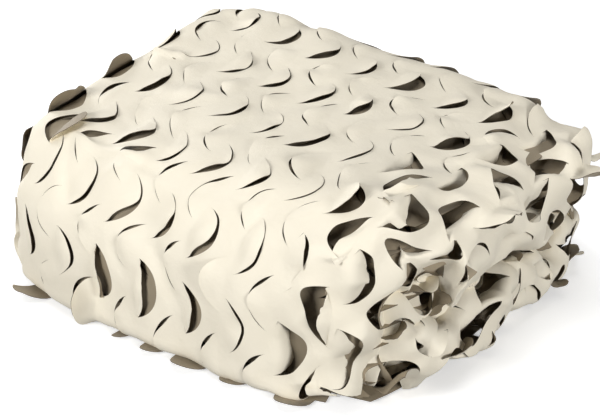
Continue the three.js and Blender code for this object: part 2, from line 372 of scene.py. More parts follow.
def flat_net(low, high, across, down):
    """Flat die-cut cloth in a rectangle: its border, the cut lines of every repeat that fits and an even
    field of points are joined by constrained Delaunay triangles, and each tongue gets its own copy of
    its cut edge. Gives the flat points, triangles, and for each point its hinge foot, reach and tongue."""
    border = rectangle_border(low, high, PITCH / np.array([across, down]))
    first = np.floor(low / PITCH).astype(int) - 1
    last = np.ceil(high / PITCH).astype(int) + 1
    columns, rows = np.meshgrid(np.arange(first[0], last[0] + 1), np.arange(first[1], last[1] + 1))
    cells = np.stack([columns.ravel(), rows.ravel()], axis=-1)
    points = [border, field_points(low, high, cells, across, down)]
    joins = [np.stack([np.arange(len(border)), np.roll(np.arange(len(border)), -1)], axis=-1)]
    count = sum(map(len, points))
    owner = [np.full(count, -1)]
    tongues = []
    for kind, cut in enumerate(CUTS):
        for cell in cells:
            line = cut + cell * PITCH
            if np.all((line > low + BORDER_CLEARANCE) & (line < high - BORDER_CLEARANCE)):
                index = count + np.arange(len(line))
                joins.append(np.stack([index[:-1], index[1:]], axis=-1))
                points.append(line)
                mark = np.full(len(line), len(tongues))
                mark[[0, -1]] = -1
                owner.append(mark)
                tongues.append((cell[0], cell[1], kind))
                count += len(line)
    owner = np.concatenate(owner)
    tongues = np.array(tongues).reshape(-1, 3)
    corners = [Vector(point) for point in np.concatenate(points)]
    mesh = delaunay_2d_cdt(corners, np.concatenate(joins).tolist(), [], 0, MERGE_DISTANCE)
    flat = np.array([tuple(point) for point in mesh[0]])
    source = np.array([ids[0] if ids else -1 for ids in mesh[3]])
    owner = np.where(source >= 0, owner[source], -1)
    triangles = np.array(mesh[2])
    face_tongue = tongue_at(flat[triangles].mean(axis=1), tongues)
    point_tongue = np.where(owner >= 0, -1, tongue_at(flat, tongues))
    cut_points = np.flatnonzero(owner >= 0)
    copy_of = np.full(len(flat), -1)
    copy_of[cut_points] = len(flat) + np.arange(len(cut_points))
    own = (face_tongue[:, None] >= 0) & (owner[triangles] == face_tongue[:, None])
    triangles = np.where(own, copy_of[triangles], triangles)
    flat = np.concatenate([flat, flat[cut_points]])
    point_tongue = np.concatenate([point_tongue, owner[cut_points]])
    foot, reach, share = flat.copy(), np.zeros(len(flat)), np.zeros(len(flat))
    toward = np.zeros((len(flat), 2))
    for kind, cut in enumerate(CUTS):
        mine = np.flatnonzero((point_tongue >= 0) & (tongues[point_tongue, 2] == kind))
        local = flat[mine] - tongues[point_tongue[mine], :2] * PITCH - cut[0]
        hinge, length, out = hinge_of(cut)
        reach[mine] = np.maximum(local @ out, 0.0)
        share[mine] = np.clip(local @ hinge / length, 0.0, 1.0)
        foot[mine] = flat[mine] - reach[mine, None] * out
        toward[mine] = out
    return dict(flat=flat, triangles=triangles, tongue=point_tongue, tongues=tongues,
                foot=foot, reach=reach, share=share, toward=toward)


LONGEST = 24.0
LIP = 0.5
CLOSED_ENDS = 0.16
DRAW_ROUND = np.radians([40.0, 90.0, 140.0])
LATEST_CURL = 1.5
FLUTTER_WAVES = 1.6
FLUTTER_HEIGHT = 2.2
BULGE_HEIGHT = 3.2
CLING_TURN = math.radians(40.0)
SLOPE_STEP = 0.5
LOWEST = 0.8
TOP, TAIL, LATE, FREE, FLUTTER, PHASE, BULGE = range(7)
ENDS = slice(TOP, LATE)
chance = np.random.default_rng(5)


def bend(reach, turn, growth):
    """Run and rise of a leaf of this reach whose slope grows from its hinge as a power of the reach: the
    integrals of the slope's cosine and sine, by five-point Gauss sums."""
    spot, weight = np.polynomial.legendre.leggauss(5)
    slope = turn[:, None] * (reach[:, None] * (spot + 1.0) / 2.0 / LONGEST) ** growth[:, None]
    run = reach * (np.cos(slope) @ weight) / 2.0
    rise = reach * (np.sin(slope) @ weight) / 2.0
    return run, rise


def on_surface(surface, spots, toward):
    """Place, outward normal, direction toward a leaf's tip and the two slopes of a surface at flat spots."""
    a, b = spots.T
    by_a = (surface(a + SLOPE_STEP, b) - surface(a - SLOPE_STEP, b)) / (2.0 * SLOPE_STEP)
    by_b = (surface(a, b + SLOPE_STEP) - surface(a, b - SLOPE_STEP)) / (2.0 * SLOPE_STEP)
    out = unit(toward[:, :1] * by_a + toward[:, 1:] * by_b)
    return surface(a, b), unit(np.cross(by_a, by_b)), out, by_a, by_b


def lay_net(net, surface, turns, draws):
    """Lays flat cut cloth on a surface. The web follows the surface. A leaf that turns little follows it
    too, and a leaf that turns more leaves it at its hinge and bends out. The turn runs from the top to
    the tail of a leaf. Three draws along the surface hold at the top, middle and tail of its round edge,
    and fade toward the hinge and the ends of the cut. Its edge flutters and its middle bulges."""
    reach, share, toward = net["reach"], net["share"], net["toward"]
    held = net["tongue"] >= 0
    turn = np.zeros((len(reach), turns.shape[1]))
    turn[held] = turns[net["tongue"][held]]
    pulls = np.zeros((len(reach), draws.shape[1]))
    pulls[held] = draws[net["tongue"][held]]
    rim = np.minimum(1.0, reach / LONGEST)
    around = np.arctan2(rim, 1.0 - 2.0 * share)
    top, middle, tail = (np.interp(around, DRAW_ROUND, weight)[:, None] for weight in np.eye(3))
    draw = top * pulls[:, 0:2] + middle * pulls[:, 2:4] + tail * pulls[:, 4:6]
    angle = turn[:, TOP] + (turn[:, TAIL] - turn[:, TOP]) * share
    run, rise = bend(reach, angle, 1.0 + turn[:, LATE])
    flutter = turn[:, FLUTTER] * np.sin(2.0 * math.pi * (FLUTTER_WAVES * share + turn[:, PHASE]))
    bulge = turn[:, BULGE] * 4.0 * rim * np.maximum(0.0, 1.0 - np.hypot(rim, 1.0 - 2.0 * share))
    rise = rise + LIP * rim + flutter * rim ** 2 + bulge
    near_end = np.clip(np.minimum(around, math.pi - around) / (CLOSED_ENDS * math.pi), 0.0, 1.0)
    pull = np.sin(math.pi / 2.0 * rim) * near_end ** 2 * (3.0 - 2.0 * near_end)
    place, normal, out, by_a, by_b = on_surface(surface, net["foot"], toward)
    bent = place + run[:, None] * out + rise[:, None] * normal
    place, normal, out = on_surface(surface, net["foot"] + reach[:, None] * toward, toward)[:3]
    lying = place - (reach - run)[:, None] * out + rise[:, None] * normal
    cling = (np.clip(1.0 - np.abs(angle) / CLING_TURN, 0.0, 1.0) * (1.0 - turn[:, FREE]))[:, None]
    place = bent + (lying - bent) * cling
    place += pull[:, None] * (draw[:, :1] * by_a + draw[:, 1:] * by_b)
    place[:, 2] = np.maximum(place[:, 2], LOWEST)
    return place


def leaf_turns(leaves, low, high, spread):
    """For each leaf its turn at the top and the tail of its cut in radians, how late its curl grows, 1 if
    it never follows the surface, the height and phase of the flutter of its edge, and its bulge."""
    middle = chance.uniform(low, high, (leaves, 1))
    ends = np.radians(middle + chance.uniform(-spread, spread, (leaves, 2)))
    late = chance.uniform(0.0, LATEST_CURL, (leaves, 1))
    flutter = FLUTTER_HEIGHT * chance.uniform(0.0, 1.0, (leaves, 1)) ** 2
    phase = chance.uniform(0.0, 1.0, (leaves, 1))
    bulge = BULGE_HEIGHT * chance.uniform(0.0, 1.0, (leaves, 1)) ** 1.5
    return np.concatenate([ends, late, np.zeros((leaves, 1)), flutter, phase, bulge], axis=1)


def leaf_draws(leaves, most):
    """For each leaf three draws along the surface, each along and up, none longer than the most each way."""
    return chance.uniform(-most, most, (leaves, 6))


FOOT_ROUND = 13.0
FOOT_LEAST = 2.0
FRONT_RUN = STACK_HEIGHT - FRONT_ROUND - FOOT_ROUND
FRONT_ARC = FRONT_ROUND * math.pi / 2.0
TOP_RUN = 2.0 * HALF_DEPTH - FRONT_ROUND
FOOT_ARC = FOOT_ROUND * math.pi / 2.0
BACK_TRAVEL = FRONT_RUN + FRONT_ARC + TOP_RUN


def wrap_section(travel, inset):
    """Depth and height of the wrapping ply by its travel: under the foot, up the front, round the front
    top edge and along the top to the back, drawn inward by an inset."""
    depth = np.full_like(travel, -HALF_DEPTH + inset)
    height = FOOT_ROUND + travel
    turn = np.clip((travel - FRONT_RUN) / FRONT_ROUND, 0.0, math.pi / 2.0)
    over = travel > FRONT_RUN
    radius = FRONT_ROUND - inset
    run = np.maximum(0.0, travel - FRONT_RUN - FRONT_ARC)
    depth = np.where(over, -HALF_DEPTH + FRONT_ROUND - radius * np.cos(turn) + run, depth)
    height = np.where(over, STACK_HEIGHT - FRONT_ROUND + radius * np.sin(turn), height)
    below = travel < 0.0
    turn = np.clip(-travel / FOOT_ROUND, 0.0, math.pi / 2.0)
    run = np.maximum(0.0, -travel - FOOT_ARC)
    radius = np.maximum(FOOT_ROUND - inset, FOOT_LEAST)
    depth = np.where(below, -HALF_DEPTH + inset + radius - radius * np.cos(turn) + run, depth)
    height = np.where(below, inset + radius - radius * np.sin(turn), height)
    return depth, height


def curl_over(place, tangent, normal, rest, radius, limit):
    """Carries a surface on past an edge by the rest of its length: along a circle that turns inward up
    to a limit, then straight on. Gives the place, and the normal there."""
    turn = np.minimum(rest / radius, limit)
    run = rest - turn * radius
    across = (radius * np.sin(turn) + run * np.cos(turn))[:, None]
    down = (radius * (1.0 - np.cos(turn)) + run * np.sin(turn))[:, None]
    turn = turn[:, None]
    return place + tangent * across - normal * down, normal * np.cos(turn) + tangent * np.sin(turn)


def wrap_surface(along, travel, inset, left, right, back):
    """The wrapping ply as a function of its place along the pack and its travel round it. Past the left,
    right and back edges it curls over, each by its own edge place, radius and limit of turn. Those of
    the right edge change with the travel."""
    def base(u, v):
        depth, height = wrap_section(v, inset)
        return settle(u, depth, height)
    v = np.minimum(travel, BACK_TRAVEL - back[0])
    over = right(v)
    u = np.clip(along, -left[0], over[0])
    place = base(u, v)
    by_u = unit(base(u + SLOPE_STEP, v) - base(u - SLOPE_STEP, v))
    by_v = unit(base(u, v + SLOPE_STEP) - base(u, v - SLOPE_STEP))
    normal = unit(np.cross(by_u, by_v))
    place, normal = curl_over(place, by_u, normal, np.maximum(along - u, 0.0), *over[1:])
    place, normal = curl_over(place, -by_u, normal, np.maximum(u - along, 0.0), *left[1:])
    place, normal = curl_over(place, by_v, normal, travel - v, *back[1:])
    place[:, 2] = np.maximum(place[:, 2], LOWEST)
    return place


def soft_noise(x, y, wavelength, seed):
    """Six slow waves in random directions added up, about one unit high."""
    local = np.random.default_rng(seed)
    angle = local.uniform(0.0, 2.0 * math.pi, 6)
    size = wavelength * local.uniform(0.7, 1.6, 6)
    phase = local.uniform(0.0, 2.0 * math.pi, 6)
    wave = np.outer(x, np.cos(angle) / size) + np.outer(y, np.sin(angle) / size)
    return np.sin(2.0 * math.pi * wave + phase).sum(axis=1) / 2.5


def crumple(places, amount, wavelength, sharp, seed):
    """Pushes points by waves of their place, eight plane waves for each of the three directions. The
    waves run from round at sharp 0 to folded, with narrow crests, at sharp 1."""
    local = np.random.default_rng(seed)
    push = np.zeros_like(places)
    for axis in range(3):
        direction = unit(local.normal(size=(8, 3)))
        number = 2.0 * math.pi / (wavelength * local.uniform(0.7, 1.5, 8))
        phase = local.uniform(0.0, 2.0 * math.pi, 8)
        wave = np.sin(places @ (direction * number[:, None]).T + phase)
        folded = np.arcsin(0.98 * wave) * 2.0 / math.pi
        push[:, axis] = amount * ((1.0 - sharp) * wave + sharp * folded).sum(axis=1) / 2.0
    return places + push


CREASES = np.array([
    # start and end on the flat cloth, half width, height above the cloth or below it
    (-54.0, 98.0, 6.0, 112.0, 7.0, 3.0),
    (6.0, 112.0, 70.0, 120.0, 8.0, 2.0),
    (-52.0, 92.0, -24.0, 52.0, 6.0, -2.5),
    (50.0, 24.0, 68.0, 2.0, 7.0, -2.0),
    (88.0, 32.0, 114.0, 0.0, 8.0, -2.5),
    (-104.0, 252.0, -70.0, 268.0, 5.0, 4.0),
    (10.0, 88.0, 58.0, 102.0, 8.0, 2.0),
    (-40.0, 210.0, 12.0, 226.0, 9.0, 2.0),
    (54.0, 180.0, 62.0, 210.0, 8.0, -2.0),
])


def creases(a, b):
    """Height of the main soft creases: for each, a bell curve of the distance from its line."""
    spots = np.stack([a, b], axis=-1)
    height = np.zeros_like(a)
    for start_a, start_b, end_a, end_b, width, top in CREASES:
        start = np.array([start_a, start_b])
        line = np.array([end_a, end_b]) - start
        share = np.clip((spots - start) @ line / (line @ line), 0.0, 1.0)
        distance = np.linalg.norm(spots - start - share[:, None] * line, axis=1)
        height += top * np.exp(-(distance / width) ** 2)
    return height


LEAFY_FRONT, LEAFY_BACK = 105.0, 130.0
LEAFY_RUN = 85.0


def leafiness(along, travel):
    """From 0 on the smooth ply to 1 at the leafy end. It starts earlier at the front than at the back."""
    start = LEAFY_FRONT + (LEAFY_BACK - LEAFY_FRONT) * np.clip(travel / BACK_TRAVEL, 0.0, 1.0)
    return np.clip((along - start) / LEAFY_RUN, 0.0, 1.0)


FIRST_CUT_ALONG = -96.6
FIRST_CUT_TRAVEL = 45.0
ROW_TURN = -0.05
ROW_CHART = np.array([
    # row, shift along, widening about the middle column, lift, shift and lift for each column at the left
    (0, 0.5, 0.084, 10.0, 0.0, 1.0),
    (1, 2.0, -0.038, -2.0, -5.5, 6.5),
    (2, 11.5, -0.07, -11.0, -3.0, 4.5),
    (3, 1.5, -0.056, 0.0, -1.5, 4.0),
    (4, 1.5, -0.03, 0.0, -1.0, 4.0),
    (5, 3.5, 0.0, -1.0, -1.0, 4.0),
])
MIDDLE_COLUMN = 3.0
LEFT_COLUMN = 1.5
WARP, WARP_WAVE = 2.5, 110.0
SHIFT_SEED, LIFT_SEED = 21, 22
LEAFY_INSET = 4.0
WRAP_CRUMPLES = [
    # push on the smooth ply, push added at the leafy end, wavelength, sharpness, seed
    (1.3, 3.7, 60.0, 0.5, 3),
    (0.3, 1.6, 34.0, 0.8, 4),
]


def wrap_of(inset, left, right, back, shift):
    """Surface for a wrapping ply by its flat place: rows of cuts run along the pack, turned a little, and
    the cloth is crumpled more and more toward the leafy end."""
    def surface(a, b):
        side, widen, lift, left_side, left_lift = (
            np.interp(b / ROW_PITCH, ROW_CHART[:, 0], values) for values in ROW_CHART[:, 1:].T
        )
        left_columns = np.maximum(0.0, LEFT_COLUMN - a / CUT_PITCH)
        side = side + widen * (a - MIDDLE_COLUMN * CUT_PITCH) + left_side * left_columns
        side = side + WARP * soft_noise(a, b, WARP_WAVE, SHIFT_SEED)
        lift = lift + left_lift * left_columns + WARP * soft_noise(a, b, WARP_WAVE, LIFT_SEED)
        along = FIRST_CUT_ALONG + a + shift + side
        travel = FIRST_CUT_TRAVEL + b + ROW_TURN * a + lift
        leafy = leafiness(along, travel)
        drawn_in = inset * (1.0 + LEAFY_INSET * leafy) - creases(a, b)
        place = wrap_surface(along, travel, drawn_in, left, right, back)
        for smooth_push, leafy_push, wavelength, sharp, seed in WRAP_CRUMPLES:
            place = crumple(place, smooth_push + leafy_push * leafy, wavelength, sharp, seed)
        place[:, 2] = np.maximum(place[:, 2], LOWEST)
        return place
    return surface


END_EDGE = 184.0
CORNER_RADIUS = 30.0
CORNER_TURN = 1.1
ROLL_RADIUS = 46.0
ROLL_TURN = 2.5


def over_end(gap):
    """Right edge of a wrapping ply by its travel: edge place, radius and limit of turn. They change from
    a turn round the corner at the front to a roll over the end on the top. The gap draws it in."""
    def right(travel):
        top = np.clip((travel - FRONT_RUN) / FRONT_ARC, 0.0, 1.0)
        radius = CORNER_RADIUS + (ROLL_RADIUS - CORNER_RADIUS) * top - gap
        limit = CORNER_TURN + (ROLL_TURN - CORNER_TURN) * top ** 2
        return END_EDGE, radius, limit
    return right


SECOND_INSET = 4.0
SECOND_SHIFT = 18.0
SECOND_END_GAP = 21.0
SECOND_LEFT = (196.0, 21.0, 1.75)
SECOND_BACK = (1.0, 12.0, 2.0)
SECOND_FALLEN_FROM = 150.0
SECOND_FALL = (-110.0, -30.0)
second_end = END_EDGE + ROLL_TURN * (ROLL_RADIUS - SECOND_END_GAP) - FIRST_CUT_ALONG - SECOND_SHIFT
second_low, second_high = np.array([-150.0, -36.0]), np.array([second_end, 440.0])
second_net = flat_net(second_low, second_high, across=8, down=12)
leaves = len(second_net["tongues"])
second_turns = leaf_turns(leaves, low=-16.0, high=-2.0, spread=4.0)
second_turns[:, [FLUTTER, BULGE]] = 0.0
second_along = FIRST_CUT_ALONG + SECOND_SHIFT + CUT_PITCH * second_net["tongues"][:, 0]
second_fallen = second_along > SECOND_FALLEN_FROM
second_turns[second_fallen, ENDS] = np.radians(chance.uniform(*SECOND_FALL, (second_fallen.sum(), 1)))
second_draws = leaf_draws(leaves, most=4.0)
second_surface = wrap_of(SECOND_INSET, SECOND_LEFT, over_end(SECOND_END_GAP), SECOND_BACK, SECOND_SHIFT)
second_places = lay_net(second_net, second_surface, second_turns, second_draws)
thick_sheet(
    "second_ply", second_places, second_net["triangles"], second_net["flat"], TAUPE, CREAM,
    second_high - second_low,
)

# Folds at the left end
# The plies turn back at the left end in tight folds, one above the other, with the taupe reverse
# outside. Many of their leaves have fallen in and leave dark gaps.
LEFT_FOLDS = 8
FOLD_HALF_SIZE = np.array([46.0, 186.0])
FOLD_RADIUS = 9.0
FOLD_SPREAD = 1.1
FOLD_TUCK = 30.0
FOLD_FLOOR_GAP = 1.5
TUCK_START, TUCK_RUN = 150.0, 55.0
END_WANDER = [
    # height and wavelength of the slow waves of the level, of the radius as a share, and of the reach
    (3.5, 90.0),
    (0.35, 70.0),
    (5.0, 110.0),
]
END_CRUMPLES = [
    # push, wavelength, sharpness
    (4.0, 70.0, 0.6),
    (2.2, 34.0, 0.8),
]


def wandering(along, level, radius, reach, waves, seed):
    """Level, radius and reach of a fold along its crest, each changed by its own slow waves."""
    zero = np.zeros_like(along)
    level_wave, radius_wave, reach_wave = (
        size * soft_noise(along, zero, wavelength, seed + number)
        for number, (size, wavelength) in enumerate(waves)
    )
    rise = np.clip(level + level_wave, radius + FOLD_FLOOR_GAP, STACK_HEIGHT)
    return rise, radius * (1.0 + radius_wave), reach + reach_wave


def beside(line, ahead, side):
    """Level direction square to a line, to its right for side 1 and to its left for side -1."""
    path = unit((ahead - line) * [1.0, 1.0, 0.0])
    return side * np.stack([path[:, 1], -path[:, 0], np.zeros(len(path))], axis=-1)


def half_round(line, outward, radius, reach, across, side):
    """Carries a fold round its crest line: half a circle of the radius, and a straight run inward above
    and below. Across is the flat distance from the crest, downward for side 1 and upward for side -1."""
    turn = np.clip(across / radius, -math.pi / 2.0, math.pi / 2.0)
    inward = np.maximum(0.0, np.abs(across) - radius * math.pi / 2.0)
    out = reach - radius + radius * np.cos(turn) - inward
    place = line + out[:, None] * outward
    place[:, 2] -= side * radius * np.sin(turn)
    return place


def end_fold(side, level, radius, reach, tuck, spread, seed):
    """Surface of one fold at an end: half round about a line across the end at one level of the stack.
    The tuck draws it in near the corners of the pack, and the spread stretches or gathers it."""
    def surface(a, b):
        depth = spread * b
        end = np.full_like(b, side * HALF_LENGTH)
        drawn_in = tuck * np.clip((np.abs(depth) - TUCK_START) / TUCK_RUN, 0.0, 1.0) ** 2
        rise, size, out = wandering(b, level, radius, reach - drawn_in, END_WANDER, seed)
        line = settle(end, depth, rise)
        outward = beside(line, settle(end, depth + 1.0, rise), side)
        place = half_round(line, outward, size, out, a, side)
        for number, (push, wavelength, sharp) in enumerate(END_CRUMPLES, start=len(END_WANDER)):
            place = crumple(place, push, wavelength, sharp, seed + number)
        place[:, 2] = np.maximum(place[:, 2], LOWEST)
        return place
    return surface


def fold_stack(fold, folds, levels, half_size, reaches, turn_range, turn_spread, free, draw, seed, mesh):
    """A stack of folds as one mesh: places, triangles and flat places. Each fold is a strip of cut cloth
    with its cuts at another place on the strip, laid on the fold's surface for a level and a reach."""
    places, triangles, flats = [], [], []
    count = 0
    for k in range(folds):
        shift = np.array([chance.uniform(0.0, CUT_PITCH), chance.uniform(0.0, ROW_PITCH)])
        net = flat_net(shift - half_size, shift + half_size, *mesh)
        net["foot"] = net["foot"] - shift
        leaves = len(net["tongues"])
        turns = leaf_turns(leaves, *turn_range, turn_spread)
        turns[:, FREE] = free
        draws = leaf_draws(leaves, draw)
        level = levels[0] + (levels[1] - levels[0]) * (k + 0.5) / folds
        surface = fold(level, chance.uniform(*reaches), seed + 10 * k)
        places.append(lay_net(net, surface, turns, draws))
        triangles.append(net["triangles"] + count)
        flats.append(net["flat"])
        count += len(net["flat"])
    return np.concatenate(places), np.concatenate(triangles), np.concatenate(flats)


def tight_fold(side):
    """The surface of one tight fold at an end, as a function of its level, reach and seed."""
    return lambda level, reach, seed: end_fold(side, level, FOLD_RADIUS, reach, FOLD_TUCK, FOLD_SPREAD, seed)


left_stack = fold_stack(
    tight_fold(-1.0), LEFT_FOLDS, levels=(4.0, 142.0), half_size=FOLD_HALF_SIZE, reaches=(-22.0, -12.0),
    turn_range=(-80.0, 5.0), turn_spread=15.0, free=0.0, draw=3.0, seed=100, mesh=(10, 15),
)
thick_sheet("left_folds", *left_stack, TAUPE, CREAM, 2.0 * FOLD_HALF_SIZE * [LEFT_FOLDS, 1.0])

# Folds at the right end
# Tight folds one above the other behind the loose folds of this end, with the taupe reverse outside.
# They show as shade and grey leaves through the opened cuts of the cloth in front of them.
RIGHT_FOLDS = 9
right_stack = fold_stack(
    tight_fold(1.0), RIGHT_FOLDS, levels=(3.0, 132.0), half_size=FOLD_HALF_SIZE, reaches=(-56.0, -46.0),
    turn_range=(-40.0, 40.0), turn_spread=15.0, free=1.0, draw=8.0, seed=400, mesh=(11, 17),
)
thick_sheet("right_folds", *right_stack, TAUPE, CREAM, 2.0 * FOLD_HALF_SIZE * [RIGHT_FOLDS, 1.0])

# Loose folds at the right end
# Below the roll of the outermost ply two nested plies turn back in one wide fold, the outer one with its
# cream face outside and the inner one with its taupe reverse. A narrower cream fold lies above them.
# Their cuts are drawn open by the bend, and part of the leaves have fallen in.
LOOSE_INWARD = 30.0
LOOSE_HALF_LENGTH = 235.0
LOOSE_SPREAD = 0.88
LOOSE_TUCK = 17.0
LOOSE_FALL = math.radians(30.0)
SHARP_HINGE, HINGE_SOFTNESS = -0.8, 0.2


def loose_fold(name, level, radius, reach, turn_range, fallen_share, seed, face, reverse):
    """One loose fold: a strip of cut cloth laid half round, part of its leaves fallen in, the rest out."""
    size = np.array([radius * math.pi / 2.0 + LOOSE_INWARD, LOOSE_HALF_LENGTH])
    net = flat_net(-size, size, across=12, down=18)
    leaves = len(net["tongues"])
    turns = leaf_turns(leaves, *turn_range, spread=25.0)
    fallen = chance.uniform(0.0, 1.0, leaves) < fallen_share
    turns[fallen, ENDS] = -turns[fallen, ENDS] - LOOSE_FALL
    turns[:, LATE] = HINGE_SOFTNESS * turns[:, LATE] + SHARP_HINGE
    turns[:, FREE] = 1.0
    draws = leaf_draws(leaves, most=8.0)
    surface = end_fold(1.0, level, radius, reach, LOOSE_TUCK, LOOSE_SPREAD, seed)
    places = lay_net(net, surface, turns, draws)
    thick_sheet(name, places, net["triangles"], net["flat"], face, reverse, 2.0 * size)


LOOSE_FOLDS = [
    # name, level, radius, reach, range of turn in degrees, share of fallen leaves, seed, face, reverse
    ("lower_fold", 44.0, 33.0, -6.0, (20.0, 70.0), 0.8, 610, CREAM, TAUPE),
    ("lower_inner_fold", 44.0, 18.0, -26.0, (10.0, 60.0), 0.5, 610, TAUPE, CREAM),
    ("middle_fold", 90.0, 11.0, -23.0, (0.0, 50.0), 0.4, 640, CREAM, TAUPE),
]
for values in LOOSE_FOLDS:
    loose_fold(*values)

# Folds at the back
# The wrapped plies turn back at the back in tight folds along the pack. These folds run along the
# leaves, so the leaves lie in them and only their cuts stand open a little.
BACK_FOLDS = 7
BACK_HALF_SIZE = np.array([205.0, 55.0])
BACK_RADIUS = 8.0
BACK_LOWEST = 0.6
BACK_WANDER = [
    # the slow waves of these folds, in the order of those at the ends
    (4.0, 150.0),
    (0.3, 120.0),
    (5.0, 160.0),
]


def back_fold(level, reach, seed):
    """Surface of one fold at the back: half round about a line along the pack at one level."""
    def surface(a, b):
        back = np.full_like(a, HALF_DEPTH)
        rise, size, out = wandering(a, level, BACK_RADIUS, reach, BACK_WANDER, seed)
        line = settle(a, back, rise)
        outward = beside(line, settle(a + 1.0, back, rise), -1.0)
        place = half_round(line, outward, size, out, b, 1.0)
        place[:, 2] = np.maximum(place[:, 2], BACK_LOWEST)
        return place
    return surface


back_stack = fold_stack(
    back_fold, BACK_FOLDS, levels=(8.0, 138.0), half_size=BACK_HALF_SIZE, reaches=(-9.0, 0.0),
    turn_range=(0.0, 25.0), turn_spread=8.0, free=0.0, draw=5.0, seed=700, mesh=(9, 14),
)
thick_sheet("back_folds", *back_stack, CREAM, TAUPE, 2.0 * BACK_HALF_SIZE * [1.0, BACK_FOLDS])

# Ply under the front edge
# The next ply down, on the floor with its taupe reverse up. A few of its leaf tips peep out from under
# the smooth front face and lift a little.
TIPS = [
    # place along the front, half width, reach past the front edge
    (-178.0, 22.0, 16.0),
    (-48.0, 7.0, 7.0),
    (-7.0, 13.0, 9.0),
    (38.0, 20.0, 12.0),
    (90.0, 15.0, 7.0),
    (155.0, 19.0, 11.0),
]
TIP_TUCK = 12.0
TIP_RUN = 40.0
TIP_HEIGHT = 1.2
TIP_RISE, TIP_RISE_RUN = 9.0, 26.0
tip_along = np.linspace(-190.0, 185.0, 251)
tip_reach = np.full_like(tip_along, -TIP_TUCK)
for middle, half_width, reach in TIPS:
    rounded = np.sqrt(np.clip(1.0 - ((tip_along - middle) / half_width) ** 2, 0.0, 1.0))
    tip_reach = np.maximum(tip_reach, (reach + TIP_TUCK) * rounded - TIP_TUCK)
share = np.linspace(0.0, 1.0, 12)[:, None]
tip_grid = -TIP_RUN + (tip_reach + TIP_RUN) * share
tip_out = tip_grid.ravel()
along = np.tile(tip_along, len(share))
front, ground = np.full_like(along, -HALF_DEPTH), np.zeros_like(along)
tip_line = settle(along, front, ground)
tip_places = tip_line + tip_out[:, None] * beside(tip_line, settle(along + 1.0, front, ground), 1.0)
tip_places[:, 2] = TIP_HEIGHT + TIP_RISE * np.clip((tip_out + TIP_TUCK) / TIP_RISE_RUN, 0.0, 1.0) ** 2
tip_triangles = grid_triangles(*tip_grid.shape)[:, ::-1]
tip_flat = np.stack([along, tip_out], axis=-1)
tip_size = np.ptp(tip_along), TIP_RUN + tip_reach.mean()
thick_sheet("under_ply", tip_places, tip_triangles, tip_flat, TAUPE, CREAM, tip_size)

# Outermost ply
# The wrapping ply with its cream face outside: under the foot, up the smooth front face, over the top
# and in a loose roll over the right end. Its cuts stand open where the cloth is pulled over the edges.
# Some leaves curl up, and at the right end most have fallen in or stand up.
OUTER_LEFT = (196.0, 24.0, 1.75)
OUTER_BACK = (1.0, 14.0, 2.0)
NOTCH = (275.0, -38.0)
outer_low = np.array([-165.0, -90.0])
outer_high = np.array([END_EDGE + ROLL_TURN * ROLL_RADIUS - FIRST_CUT_ALONG, 480.0])


def trim(net, kept):
    """The part of a flat net whose points are kept, without the triangles that lost a point."""
    triangles = net["triangles"][kept[net["triangles"]].all(axis=1)]
    used = np.unique(triangles)
    number = np.full(len(kept), -1)
    number[used] = np.arange(len(used))
    part = {name: net[name][used] for name in ("flat", "tongue", "foot", "reach", "share", "toward")}
    return dict(part, triangles=number[triangles], tongues=net["tongues"])


chance = np.random.default_rng(11)
outer_net = flat_net(outer_low, outer_high, across=12, down=18)
outer_net = trim(outer_net, (outer_net["foot"][:, 0] < NOTCH[0]) | (outer_net["foot"][:, 1] > NOTCH[1]))
column, row, kind = outer_net["tongues"].T
right_leaf, left_leaf = kind == 0, kind == 1
leaves = len(kind)

# How far each cut of this ply stands open
OPENINGS = [
    # kind, row, first column, opening of each cut from there on
    (0, 0, -1, (6.0, 3.0, 20.0, 13.0, 11.0, 3.5, 1.0)),
    (0, 1, -1, (4.0, 5.0, 9.0, 9.0, 9.0, 4.0, 7.0)),
    (0, 2, -1, (7.0, 14.0, 6.0, 7.0, 5.0, 2.0, 3.0)),
    (0, 3, -1, (11.0, 1.5, 3.0, 3.0, 9.0, 4.0, 7.0)),
    (0, 4, -1, (1.5, 2.0, 7.0, 8.0, 15.0, 2.0, 15.0)),
    (0, 5, -1, (6.0, 2.0, 12.0, 12.0, 12.0, 11.0, 10.0)),
    (1, 0, 0, (4.0, 4.5, 4.5, 5.0, 5.0)),
    (1, 1, 0, (5.0, 5.5, 6.0, 3.0, 4.0)),
    (1, 2, -1, (16.0, 12.0, 9.0, 6.0, 4.0, 2.0)),
    (1, 4, 2, (4.0, 2.0, 3.0, 4.0)),
]
LEAST_OPENING, OPENING_RANGE = 0.8, 8.0
FRONT_HEADING, RIGHT_HEADING, LEFT_HEADING = -2.68, 2.16, -1.2
HEADING_WANDER = (-0.3, 0.6)
SLIT = (0.6, 1.8)
RIGHT_SLIT, LEFT_SLIT = (-1.0, -0.4), (1.0, 0.3)
DRAW_SHARES = np.array([
    # shares of the wide draw and of the slit at the top, at the middle and at the tail of a cut, for
    # right cuts on the front, other right cuts and left cuts
    [(0.7, 0.0), (1.0, 0.0), (1.0, 0.0)],
    [(0.0, 1.0), (0.4, 0.5), (1.0, 0.0)],
    [(1.0, 0.0), (0.0, 0.15), (0.0, 1.5)],
])
opening = LEAST_OPENING + OPENING_RANGE * chance.uniform(0.0, 1.0, leaves) ** 3.0
uncharted = np.ones(leaves, dtype=bool)
for k, r, first_column, widths in OPENINGS:
    for c, width in enumerate(widths, start=first_column):
        chosen = (column == c) & (row == r) & (kind == k)
        opening[chosen] = width
        uncharted[chosen] = False
wander = chance.uniform(*HEADING_WANDER, leaves) * uncharted
heading = np.where(right_leaf, np.where(row <= 0, FRONT_HEADING, RIGHT_HEADING), LEFT_HEADING) + wander
wide_draw = opening[:, None] * np.stack([np.cos(heading), np.sin(heading)], axis=-1)
